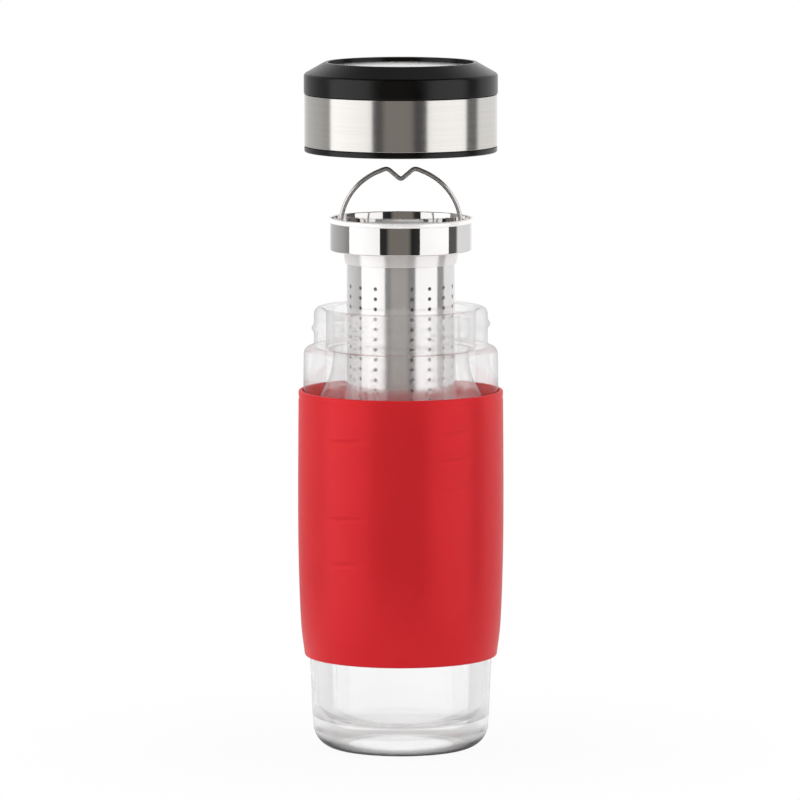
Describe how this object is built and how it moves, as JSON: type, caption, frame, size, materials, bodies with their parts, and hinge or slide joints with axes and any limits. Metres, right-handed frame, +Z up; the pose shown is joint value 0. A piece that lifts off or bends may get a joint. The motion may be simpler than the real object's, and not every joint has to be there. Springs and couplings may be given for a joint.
{
  "type": "tea mug with infuser",
  "caption": "Glass tea mug in a red silicone grip sleeve, with a lift-out perforated steel infuser on a wire bail and a black and steel screw lid.",
  "frame": {"origin": "centre of the base, on the surface that the glass stands on", "axes": "+Z up along the mug's axis; +X along the hinge line of the bail; -Y is the side that faces the viewer"},
  "size_m": [0.0766, 0.0766, 0.2565],
  "materials": {
    "glass": "clear, fire-polished",
    "sleeve_silicone": "satin red silicone",
    "polished_steel": "polished stainless steel",
    "wire_steel": "bright drawn wire",
    "brushed_steel": "brushed round the axis",
    "black_plastic": "satin black",
    "seal_silicone": "matt translucent white"
  },
  "bodies": {
    "mug": {"glass_body": "glass", "silicone_sleeve": "sleeve_silicone"},
    "infuser": {"infuser_collar": "polished_steel", "infuser_tube": "polished_steel", "infuser_base": "polished_steel"},
    "bail": {"bail_handle": "wire_steel"},
    "lid_gasket": {"lid_seal": "seal_silicone"},
    "lid": {"lid_liner": "black_plastic", "lid_band": "brushed_steel", "lid_cap": "black_plastic", "lid_disc": "brushed_steel"}
  },
  "joints": [
    {"name": "infuser_lift", "type": "slide", "parent": "mug", "child": "infuser", "axis": [0, 0, 1], "range_m": [-0.0367, 0.06]},
    {"name": "bail_swing", "type": "hinge", "parent": "infuser", "child": "bail", "pos_m": [0, 0, 0.1932], "axis": [1, 0, 0], "range_deg": [-95, 95]},
    {"name": "lid_lift", "type": "slide", "parent": "infuser", "child": "lid_gasket", "axis": [0, 0, 1], "range_m": [-0.0341, 0.04]},
    {"name": "lid_turn", "type": "hinge", "parent": "lid_gasket", "child": "lid", "pos_m": [0, 0, 0.2372], "axis": [0, 0, 1], "continuous": true}
  ]
}
